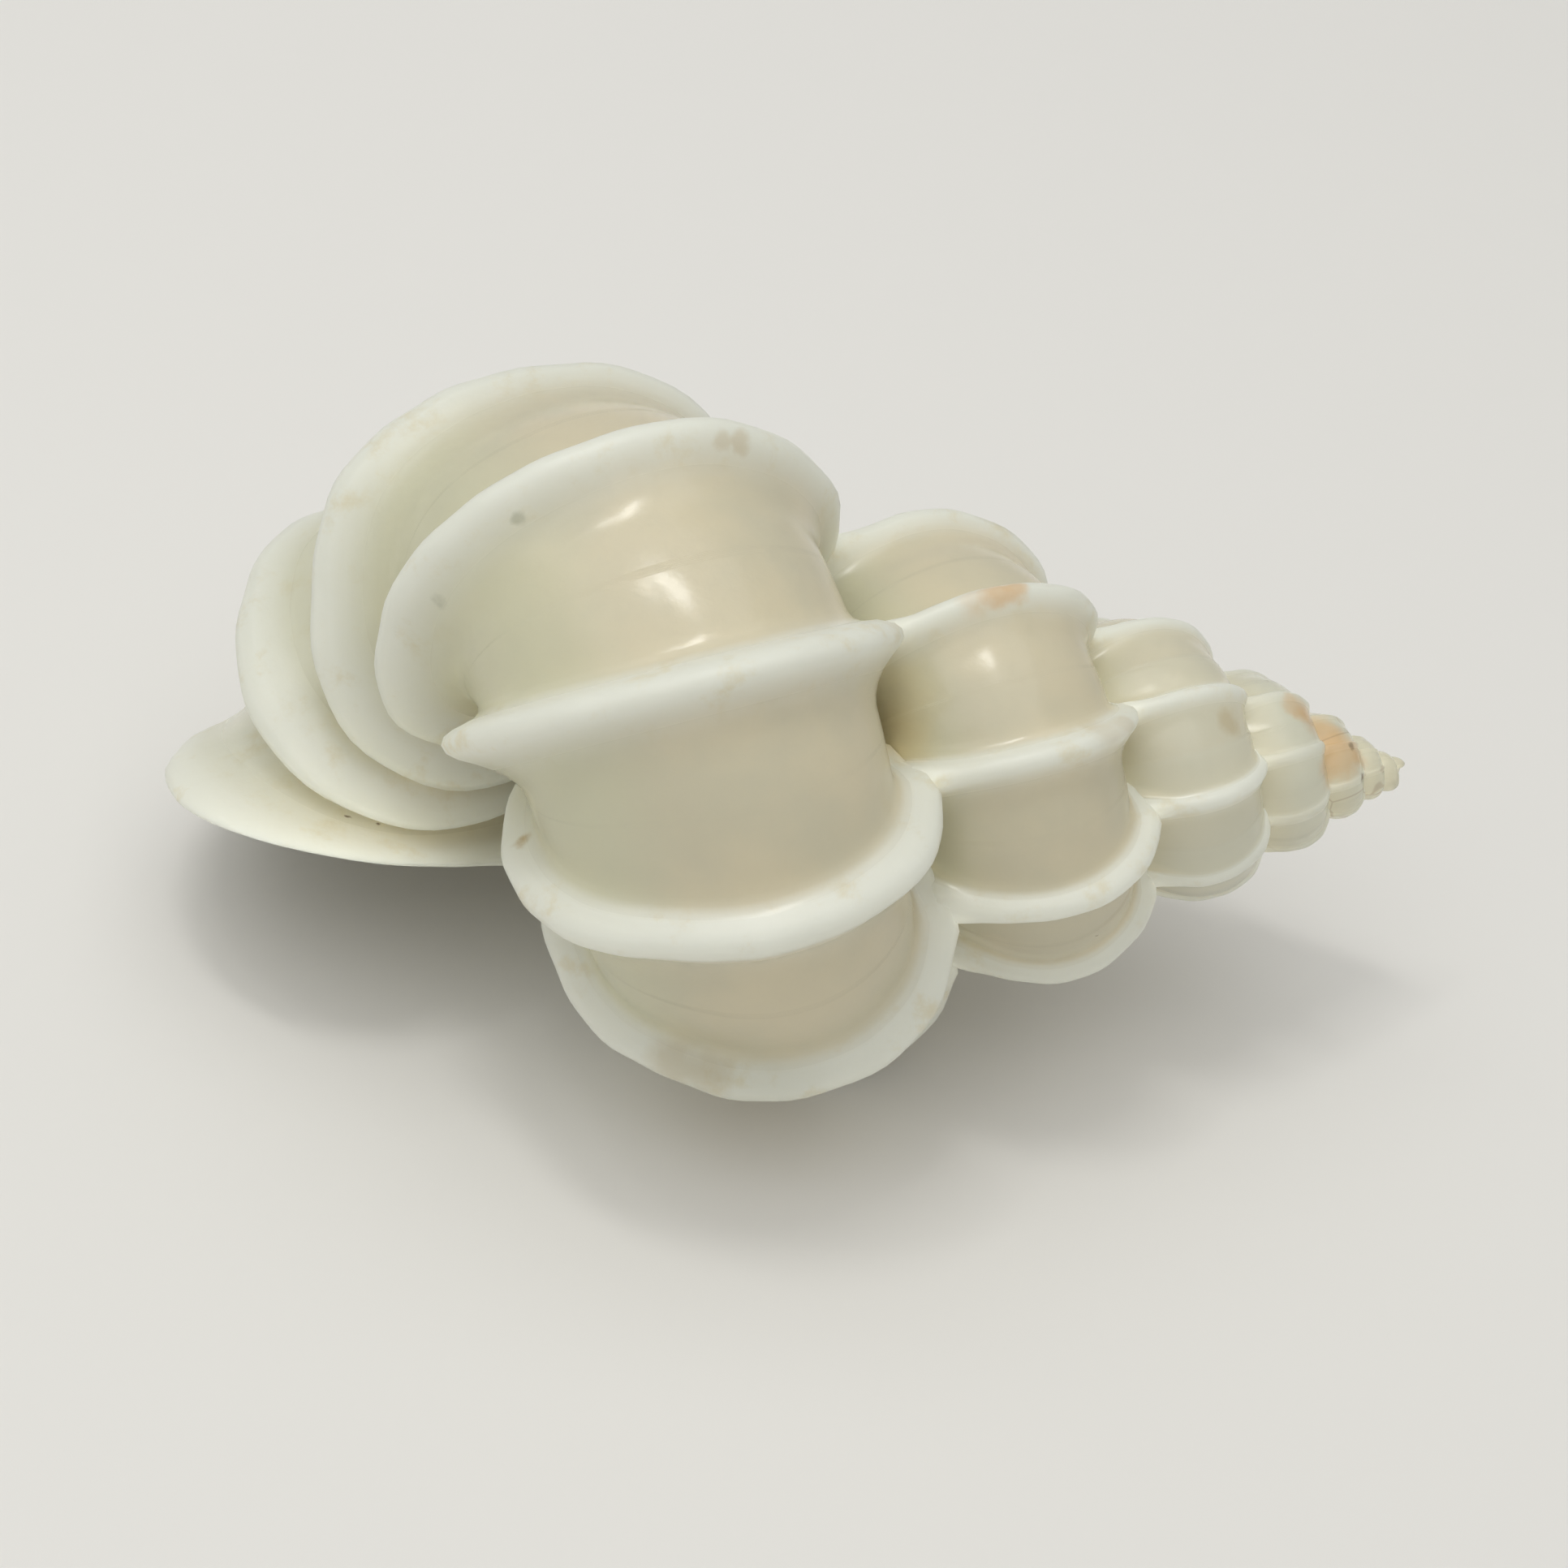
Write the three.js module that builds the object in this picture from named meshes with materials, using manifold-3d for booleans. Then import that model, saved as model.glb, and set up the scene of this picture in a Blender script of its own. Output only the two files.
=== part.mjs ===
import * as THREE from "three";
import { mergeVertices } from "three/addons/utils/BufferGeometryUtils.js";
import Module from "manifold-3d";

// A wentletrap shell: one tube that coils round an axis and carries a raised rib at each pause in its growth.
// A place along the coil is counted in ribs. Rib 0 lies uppermost on the last whorl, LIP_RIB is the edge of
// the mouth, and older places have negative numbers, down to TIP_RIB at the point of the shell.
// A place round the tube is an angle: 0 faces away from the axis, and a quarter turn faces the tip.

// Lengths are in millimetres as they are at rib 0, and angles in radians.
const COIL_RADIUS = 8.8; // from the axis to the middle of the rib
const COIL_DEPTH = 36.26; // from the start of the coil to the middle of the rib, along the axis
const RIB_RADIUS = 8.28; // from the middle of the rib to its crest
const TUBE_SCALE = 0.76; // the tube's surface on the last whorls, as a share of the rib's crest
const OLD_TUBE_SCALE = 0.88; // the same on the oldest whorls, where the ribs are low
const TIP_SIDE_SWELL = 0.07; // how much fuller the tube is on the side near the tip
const POINT_SWELL = 0.3; // how much fuller the tube is at the blunt point of the shell
const BORE_SCALE = 0.68; // the hollow inside the tube, as a share of the rib's crest

// Ribs along the coil
const LIP_RIB = 4;
const OLDEST_RIB = -44; // older whorls are smooth
const TIP_RIB = -58;
const LOW_RIB = -24; // ribs up to this one are low
const HIGH_RIB = -6; // ribs from this one on have their full height
const SWOLLEN_RIB = -47; // the tube swells towards the point from here
const START_ANGLE = 0.37; // where rib 0 stands round the axis
const RIB_ANGLE = 0.7167; // from one rib to the next
const RIB_ANGLE_DRIFT = -0.0005; // older ribs stand a little further apart

// Each size grows by this much for a radian of coiling, and the growth itself changes a little with age.
const COIL_RADIUS_GROWTH = { rate: 0.0693, drift: -0.00027 };
const COIL_DEPTH_GROWTH = { rate: 0.0802, drift: -0.00002 };
const RIB_GROWTH = { rate: 0.071, drift: -0.00014 };

// Outline of a rib: a circle with low waves round it, drawn out along the axis.
const OUTLINE_WAVES = [
  { count: 2, height: 0.179, peak: THREE.MathUtils.degToRad(49.7) },
  { count: 3, height: 0.058, peak: THREE.MathUtils.degToRad(-38.2) },
  { count: 4, height: 0.02, peak: THREE.MathUtils.degToRad(19.5) },
];
const AXIAL_STRETCH = 1.105;
const AXIAL_SHIFT = 0.039; // share of the rib's radius, towards the tip
const OUTWARD_SHIFT = -0.008;
const RIB_LEAN = 0.263; // the side near the tip leads
const RIB_SWING = -0.34; // the outer side lags
const STRETCH_CHANGE = -0.006; // for each radian of coiling
const SHIFT_CHANGE = -0.0016;
const SWING_CHANGE = -0.0055;
const OLDEST_CHANGE = -16; // the outline of older whorls no longer changes

// The last rib is a little smaller and stands a little differently.
const LIP_SIZE = 0.97;
const LIP_LEAN = -0.07;
const LIP_SWING = -0.04;

// Section of a rib from its back foot over the crest to its front foot. Its back flares out of the tube,
// and its front drops steeply to the newer tube, which grew out from inside it.
const RIB_PROFILE = [
  { along: -1.25, rise: 0 },
  { along: -0.5, rise: 1 },
  { along: 0.6, rise: 0.95 },
  { along: 0.35, rise: 0 },
];
// Section of the lip, from its back foot over the crest and down inside the mouth
const LIP_PROFILE = [
  { along: -1.25, rise: 0 },
  { along: -0.5, rise: 1 },
  { along: 0.6, rise: 0.95 },
  { along: 0.6, rise: 0.3 },
  { along: 0.2, rise: -0.2 },
];
const FOOT_REACH = 0.45; // a rib's foot keeps within this share of the way to the next rib

// Facets
const MOST_COLUMNS = 20;
const FEWEST_COLUMNS = 6;
const COLUMN_FALL = 0.5; // how fast the columns grow fewer with size
const OLDEST_MIDDLE_ROW = -10; // the tube has a row of its own between ribs down to here
const RIBS_IN_SEGMENT = 6; // less than a whorl, so that a segment never meets itself
// Rings that round off the point: how far before TIP_RIB, and how large as a share of the tube
const ROUND_POINT = [
  { before: 0.9, share: 0.35 },
  { before: 0.6, share: 0.8 },
];

// The hollow, from the mouth to where it closes
const BORE_END_RIB = -12;
const BORE_TAPER = 3;
const BORE_STEP = 0.5;
const BORE_MOUTH_REACH = 1.2; // how far the cutting shape stands out of the mouth

// The shell rests on its lip and two whorls: turned about its own axis, then laid down with its tip along +X.
const REST_ROLL = THREE.MathUtils.degToRad(-133.12);
const REST_PITCH = THREE.MathUtils.degToRad(90.42);

const wasm = await Module();
wasm.setup();

function growthAngle(rib) {
  return RIB_ANGLE * rib + RIB_ANGLE_DRIFT * rib * rib;
}

function growth(angle, { rate, drift }) {
  return Math.exp(rate * angle + drift * angle * angle);
}

function outlineRadius(around) {
  return OUTLINE_WAVES.reduce(
    (sum, wave) => sum + wave.height * Math.cos(wave.count * (around - wave.peak)),
    1,
  );
}

function lipShare(rib) {
  return THREE.MathUtils.smoothstep(rib, LIP_RIB - 1, LIP_RIB);
}

// Point on the shell at a rib number, turned on by `shift` radians. `scale` is 1 on the crest of a rib.
function surfacePoint(rib, shift, around, scale) {
  const angle = growthAngle(rib) + shift;
  const change = Math.max(angle, OLDEST_CHANGE);
  const lip = lipShare(rib);
  const lean = RIB_LEAN + lip * LIP_LEAN;
  const swing = RIB_SWING + SWING_CHANGE * change + lip * LIP_SWING;
  const size = RIB_RADIUS * growth(angle, RIB_GROWTH) * (1 + lip * (LIP_SIZE - 1));

  const turn = START_ANGLE + angle;
  const outward = new THREE.Vector3(Math.cos(turn), -Math.sin(turn), 0);
  const forward = new THREE.Vector3(-Math.sin(turn), -Math.cos(turn), 0);
  const towardsTip = new THREE.Vector3(0, 0, 1);
  const ribOutward = outward.clone().multiplyScalar(Math.cos(swing)).addScaledVector(forward, Math.sin(swing));
  const ribUp = towardsTip.multiplyScalar(Math.cos(lean)).addScaledVector(forward, Math.sin(lean));

  const radius = outlineRadius(around);
  const stretch = AXIAL_STRETCH + STRETCH_CHANGE * change;
  const across = radius * Math.cos(around) + OUTWARD_SHIFT + SHIFT_CHANGE * change;
  const along = stretch * (radius * Math.sin(around) + AXIAL_SHIFT);
  return new THREE.Vector3(0, 0, -COIL_DEPTH * growth(angle, COIL_DEPTH_GROWTH))
    .addScaledVector(outward, COIL_RADIUS * growth(angle, COIL_RADIUS_GROWTH))
    .addScaledVector(ribOutward, scale * size * across)
    .addScaledVector(ribUp, scale * size * along);
}

// Angle to coil on so that a point moves forward by `along` millimetres, however close to the axis it lies
function shiftAngle(rib, around, scale, along) {
  const angle = growthAngle(rib);
  const point = surfacePoint(rib, 0, around, scale);
  const climb = COIL_DEPTH_GROWTH.rate * COIL_DEPTH * growth(angle, COIL_DEPTH_GROWTH);
  const pathForOneRadian = Math.hypot(point.x, point.y, climb);
  const limit = FOOT_REACH * RIB_ANGLE;
  const wanted = (along * growth(angle, RIB_GROWTH)) / pathForOneRadian;
  return limit * Math.tanh(wanted / limit);
}

function columnCount(rib) {
  const size = growth(growthAngle(rib), RIB_GROWTH);
  const count = 2 * Math.round((MOST_COLUMNS / 2) * Math.pow(size, COLUMN_FALL));
  return THREE.MathUtils.clamp(count, FEWEST_COLUMNS, MOST_COLUMNS);
}

function tubeScale(rib, around) {
  const height = THREE.MathUtils.smoothstep(rib, LOW_RIB, HIGH_RIB);
  const tipSide = Math.pow(0.5 + 0.5 * Math.sin(around), 2);
  const point = 1 - THREE.MathUtils.smoothstep(rib, TIP_RIB, SWOLLEN_RIB);
  const tube = OLD_TUBE_SCALE + (TUBE_SCALE - OLD_TUBE_SCALE) * height;
  return tube + TIP_SIDE_SWELL * tipSide + POINT_SWELL * point;
}

// Ring of points whose scale depends on the place round the tube
function ring(rib, along, scaleAt) {
  const count = columnCount(rib);
  return Array.from({ length: count }, (_, column) => {
    const around = (2 * Math.PI * column) / count;
    const scale = scaleAt(around);
    return surfacePoint(rib, shiftAngle(rib, around, scale, along), around, scale);
  });
}

function profileRings(rib, profile) {
  return profile.map(({ along, rise }) =>
    ring(rib, along, (around) => THREE.MathUtils.lerp(tubeScale(rib, around), 1, rise)),
  );
}

// Ring of the tube itself, or of a shape inside it that is `share` as large
function tubeRing(rib, share = 1, along = 0) {
  return ring(rib, along, (around) => share * tubeScale(rib, around));
}

// Triangles between two rings, which may have different numbers of points
function stitch(index, first, firstCount, second, secondCount) {
  let a = 0;
  let b = 0;
  while (a < firstCount || b < secondCount) {
    const nextA = first + ((a + 1) % firstCount);
    const nextB = second + ((b + 1) % secondCount);
    const hereA = first + (a % firstCount);
    const hereB = second + (b % secondCount);
    const firstIsNearer = (a + 1) / firstCount <= (b + 1) / secondCount;
    if (b === secondCount || (a < firstCount && firstIsNearer)) {
      index.push(hereA, nextA, hereB);
      a += 1;
    } else {
      index.push(hereA, nextB, hereB);
      b += 1;
    }
  }
}

function capRing(index, start, count, centre, facesForward) {
  for (let column = 0; column < count; column += 1) {
    const here = start + column;
    const next = start + ((column + 1) % count);
    index.push(centre, ...(facesForward ? [here, next] : [next, here]));
  }
}

function middleOf(points) {
  return points.reduce((sum, point) => sum.add(point), new THREE.Vector3()).divideScalar(points.length);
}

// Closed surface through a row of rings, with a fan over each end
function sweepGeometry(rings) {
  const index = [];
  const starts = [];
  const points = [];
  rings.forEach((row) => {
    starts.push(points.length);
    points.push(...row);
  });
  for (let row = 0; row + 1 < rings.length; row += 1) {
    stitch(index, starts[row], rings[row].length, starts[row + 1], rings[row + 1].length);
  }
  const last = rings.length - 1;
  points.push(middleOf(rings[0]), middleOf(rings[last]));
  capRing(index, starts[0], rings[0].length, points.length - 2, false);
  capRing(index, starts[last], rings[last].length, points.length - 1, true);
  const geometry = new THREE.BufferGeometry().setFromPoints(points);
  geometry.setIndex(index);
  return mergeVertices(geometry);
}

function toSolid(geometry) {
  const vertProperties = new Float32Array(geometry.attributes.position.array);
  const triVerts = new Uint32Array(geometry.index.array);
  return new wasm.Manifold(new wasm.Mesh({ numProp: 3, vertProperties, triVerts }));
}

function toGeometry(solid) {
  const mesh = solid.getMesh();
  const geometry = new THREE.BufferGeometry();
  geometry.setAttribute("position", new THREE.BufferAttribute(mesh.vertProperties, 3));
  geometry.setIndex(new THREE.BufferAttribute(mesh.triVerts, 1));
  return geometry;
}

// Rings of one rib, or one ring of tube where the whorls are smooth
function ribRings(rib) {
  if (rib < OLDEST_RIB) return [tubeRing(rib)];
  return profileRings(rib, rib === LIP_RIB ? LIP_PROFILE : RIB_PROFILE);
}

function roundPointRings() {
  return ROUND_POINT.map(({ before, share }) => tubeRing(TIP_RIB - before, share));
}

// Stretch of tube from just before one rib to just after another
function segment(oldest, youngest) {
  const rings = oldest === TIP_RIB ? roundPointRings() : [tubeRing(oldest - 0.5)];
  for (let rib = oldest; rib <= youngest; rib += 1) {
    rings.push(...ribRings(rib));
    const endsSegment = rib === youngest && rib !== LIP_RIB;
    if (endsSegment || (rib < youngest && rib > OLDEST_MIDDLE_ROW)) rings.push(tubeRing(rib + 0.5));
  }
  return toSolid(sweepGeometry(rings));
}

function boreShare(rib) {
  const depth = (LIP_RIB - rib) / (LIP_RIB - BORE_END_RIB);
  return (BORE_SCALE / TUBE_SCALE) * (1 - Math.pow(depth, BORE_TAPER));
}

// Hollow of the last whorls, which runs out of the mouth
function bore() {
  const rings = [];
  for (let rib = BORE_END_RIB + BORE_STEP; rib < LIP_RIB; rib += BORE_STEP) {
    rings.push(tubeRing(rib, boreShare(rib)));
  }
  rings.push(tubeRing(LIP_RIB, boreShare(LIP_RIB)), tubeRing(LIP_RIB, boreShare(LIP_RIB), BORE_MOUTH_REACH));
  return toSolid(sweepGeometry(rings));
}

// Outer surface of the joined segments, without the pockets that close between old whorls
function joinedSegments() {
  const segments = [];
  for (let oldest = TIP_RIB; oldest <= LIP_RIB; oldest += RIBS_IN_SEGMENT) {
    segments.push(segment(oldest, Math.min(oldest + RIBS_IN_SEGMENT - 1, LIP_RIB)));
  }
  const surfaces = wasm.Manifold.union(segments).decompose();
  return surfaces.reduce((largest, surface) => (surface.volume() > largest.volume() ? surface : largest));
}

const shell = new THREE.Mesh(
  toGeometry(joinedSegments().subtract(bore())),
  new THREE.MeshStandardMaterial({ color: 0xd9d6c3, roughness: 0.35, metalness: 0 }),
);
shell.name = "shell";

const rolled = new THREE.Group();
rolled.rotation.z = REST_ROLL;
rolled.add(shell);

const laid = new THREE.Group();
laid.rotation.y = REST_PITCH;
laid.add(rolled);

const wentletrap = new THREE.Group();
wentletrap.add(laid);
const box = new THREE.Box3().setFromObject(wentletrap, true);
laid.position.set(-(box.min.x + box.max.x) / 2, -(box.min.y + box.max.y) / 2, -box.min.z);

export default wentletrap;
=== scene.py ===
import math

import bpy
import numpy as np
from bpy.props import FloatProperty, FloatVectorProperty, IntProperty, PointerProperty, StringProperty
from bpy.types import Operator, Panel, PropertyGroup
from mathutils import Euler, Matrix, Vector


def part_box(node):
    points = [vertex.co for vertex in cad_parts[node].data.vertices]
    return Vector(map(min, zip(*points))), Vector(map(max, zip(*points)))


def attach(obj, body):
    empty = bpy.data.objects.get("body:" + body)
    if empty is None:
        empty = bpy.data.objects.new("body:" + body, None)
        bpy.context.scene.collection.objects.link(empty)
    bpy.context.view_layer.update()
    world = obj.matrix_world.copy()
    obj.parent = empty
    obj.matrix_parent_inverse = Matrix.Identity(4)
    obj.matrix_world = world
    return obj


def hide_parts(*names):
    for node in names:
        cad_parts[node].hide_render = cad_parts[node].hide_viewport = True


bl_info = {
    "name": "Wentletrap shell",
    "version": (1, 0, 0),
    "blender": (4, 5, 0),
    "location": "View3D > Sidebar > Shell",
    "description": "Builds a ribbed wentletrap shell on its CAD frame, with its finish and a small studio",
    "category": "Object",
}

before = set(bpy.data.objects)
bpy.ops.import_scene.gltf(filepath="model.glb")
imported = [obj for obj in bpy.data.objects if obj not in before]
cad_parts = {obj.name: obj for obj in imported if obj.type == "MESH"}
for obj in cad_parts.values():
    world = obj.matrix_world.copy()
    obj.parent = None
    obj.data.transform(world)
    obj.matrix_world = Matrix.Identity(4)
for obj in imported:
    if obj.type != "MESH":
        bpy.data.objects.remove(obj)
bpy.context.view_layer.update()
MM = 0.001

# Low waves round a rib's outline: how many, how high as a share of the radius, and where the first one peaks
OUTLINE_WAVES = ((2, 0.179, 49.7), (3, 0.058, -38.2), (4, 0.02, 19.5))

# Control points of a rib's section, from the tube behind it over the crest to the tube in front:
# millimetres forward along the coil, and rise as a share of the rib's height
RIB_BACK = ((-4.2, 0.0), (-3.4, 0.0), (-2.6, 0.06), (-1.9, 0.19), (-1.3, 0.41), (-0.78, 0.72))
RIB_CREST = ((-0.42, 1.0), (0.0, 1.08), (0.42, 1.02))
RIB_FRONT = ((0.7, 0.82), (0.84, 0.54), (0.98, 0.27), (1.22, 0.08), (1.6, 0.01), (2.1, 0.0), (2.6, 0.0))
# The lip's section goes on from the crest down into the mouth
LIP_FRONT = ((0.7, 0.7), (0.66, 0.3), (0.42, -0.08), (0.0, -0.3), (-0.6, -0.333), (-1.2, -0.333))
# Rows of the tube on either side of a rib, in millimetres from the rib's middle
TUBE_ROWS_BACK = (-60.0, -8.5, -6.3, -5.0)
TUBE_ROWS_FRONT = (3.2, 4.2, 6.0, 8.5)

# Steps along the section of a rib, of the older and smaller ones up to LAST_PLAIN_RIB, and of the lip
FINE_STEPS, PLAIN_STEPS, LIP_STEPS = 17, 10, 22
LAST_PLAIN_RIB = -20
SMOOTH_STEP = 0.25  # between rows of the whorls without ribs, counted in ribs
# The closed round end at the point: how far before the first row, in ribs, and the share of the tube's size
ROUND_END = ((0.95, 0.02), (0.93, 0.3), (0.85, 0.55), (0.7, 0.8), (0.5, 0.93), (0.25, 1.0))
# Rows of the hollow, where it starts behind the lip, in ribs, and how far it closes at its inner end
HOLLOW_ROWS, HOLLOW_START, HOLLOW_END = 60, 0.15, 0.004
# Uneven crests: waves round the rib, waves for each rib along the coil in radians, and weight
CREST_WAVES = ((3, 2.1, 1.0), (7, 5.3, 0.7), (16, 7.7, 0.4), (0, 1.7, 1.0))

# Steps of the two searches for the whorl beside a point, and the longest turn in one step, in radians
PLANE_STEPS, OUTLINE_STEPS, LONGEST_TURN = 7, 4, 0.4
FAR = 1.0  # distance to a whorl that isn't there, in metres

# Ivory of the ribs, by rib number: it begins in the first range, at the share OLD_IVORY, and reaches its
# full strength over the second. From LIP_IVORY_START on the tube gets some too, up to LIP_IVORY at the lip.
IVORY_BEGINS, IVORY_STRENGTHENS = (-40.0, -32.0), (-30.0, -17.0)
OLD_IVORY, LIP_IVORY, LIP_IVORY_START = 0.3, 0.6, 2.0
FRONT_EDGE = 0.3  # where a rib's front begins, in millimetres from its middle

# Stains and painted light and shade on this shell: place in millimetres, reach in millimetres, colour and
# strength
ORANGE, TAN, PALE_TAN, GREY_GREEN, DARK = "D2A970", "B79F6C", "E4D4A6", "A3A48C", "6E5A42"
STAINS_AND_PAINTED_LIGHT = (
    ((5.9, -3.0, 24.0), 1.0, ORANGE, 0.25),  # worn shoulder of a rib on the last whorl but one
    ((6.9, -2.7, 24.25), 1.0, ORANGE, 0.65),
    ((7.8, -2.3, 24.25), 0.9, ORANGE, 0.65),
    ((-5.2, 0.3, 29.9), 0.6, TAN, 0.3),  # crest of the rib above the last whorl
    ((-4.4, 0.5, 29.7), 0.7, TAN, 0.35),
    ((-16.78, -2.62, 23.76), 0.5, GREY_GREEN, 0.5),
    ((-13.72, -2.07, 27.6), 0.5, GREY_GREEN, 0.5),
    ((-13.12, -8.7, 15.27), 0.6, TAN, 0.8),
    ((-6.6, -13.9, 7.45), 1.6, TAN, 0.35),
    ((-5.0, -14.6, 7.35), 1.4, TAN, 0.35),
    # painted shade: a wide grey-green wash that darkens the lowest rib, where it faces down
    ((-4.0, -14.6, 7.0), 5.5, GREY_GREEN, 0.2),
    ((11.2, -7.8, 21.0), 1.3, TAN, 0.25),
    ((12.4, -7.0, 20.7), 1.0, TAN, 0.3),
    # painted light: pale tan patches, lighter than the tube, that lift the shade in the groove; their yellow
    # is the glaze's own
    ((2.6, -5.1, 20.3), 2.8, PALE_TAN, 0.45),  # where the last two whorls meet
    ((2.8, -6.3, 18.8), 2.4, PALE_TAN, 0.45),
    ((17.9, -4.6, 18.5), 0.9, TAN, 0.4),
    ((21.9, -2.0, 17.0), 1.0, ORANGE, 0.5),  # worn whorls near the point
    ((22.5, -2.3, 16.5), 1.2, ORANGE, 0.6),
    ((23.5, -2.2, 15.6), 1.5, ORANGE, 0.6),
    ((24.2, -3.1, 15.2), 1.4, ORANGE, 0.55),
    ((23.2, -3.9, 15.1), 1.2, ORANGE, 0.5),
    ((25.1, -2.8, 14.8), 0.9, ORANGE, 0.5),
    ((25.26, -3.68, 14.17), 0.32, DARK, 0.9),
    ((24.65, -2.75, 15.35), 0.25, DARK, 0.6),
    ((-19.95, -1.34, 10.03), 0.15, DARK, 0.8),  # specks
    ((-18.71, -1.74, 9.8), 0.15, DARK, 0.8),
    ((12.02, -10.16, 15.11), 0.12, DARK, 0.6),
    ((12.27, -10.08, 10.95), 0.12, DARK, 0.6),
)
# The same share holds for the patches of painted light and shade.
PATCH_CORE = 0.3  # share of a stain's reach that has its full strength

# Whorls with fine cracks, where the cracks fade out at their ends, and the cracks' strength
CRACKED_RIBS, CRACK_FADE, CRACK_STRENGTH = (-47.0, -27.0), 3.0, 0.32
# Ribs over which the paler glaze of the old whorls gives way to the beige of the young ones
OLD_RIBS, OLD_STRENGTH = (-21.0, -13.0), 0.85
# Strengths of the base side's glaze, and of the tint where whorls meet, which is partly painted light in the
# groove
BASE_STRENGTH, SUTURE_TINT_AND_LIGHT_STRENGTH = 0.7, 0.2

# Area lights in the camera's own axes, in metres from the aim: name, place, way of the long side,
# size and watts
LEVEL, SLANT = (1.0, 0.0, 0.0), (0.84, -0.31, 0.5)
LIGHTS = (
    ("ceiling_softbox", (-0.02, 0.28, 0.32), LEVEL, (0.6, 0.6), 0.98),
    ("window_pane", (-0.025, 0.31, 0.27), SLANT, (0.12, 0.04), 0.2),
    ("window_pane_beside", (-0.1, 0.3, 0.28), SLANT, (0.03, 0.03), 0.04),
)
LIGHT_COLOUR = (1.0, 0.995, 0.97)
ROOM_COLOUR, ROOM_STRENGTH = "F2F3F2", 0.475
FLOOR_HALF = 3.0  # half the floor's side, in metres
SENSOR_WIDTH = 36.0  # millimetres, as the lens is


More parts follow.
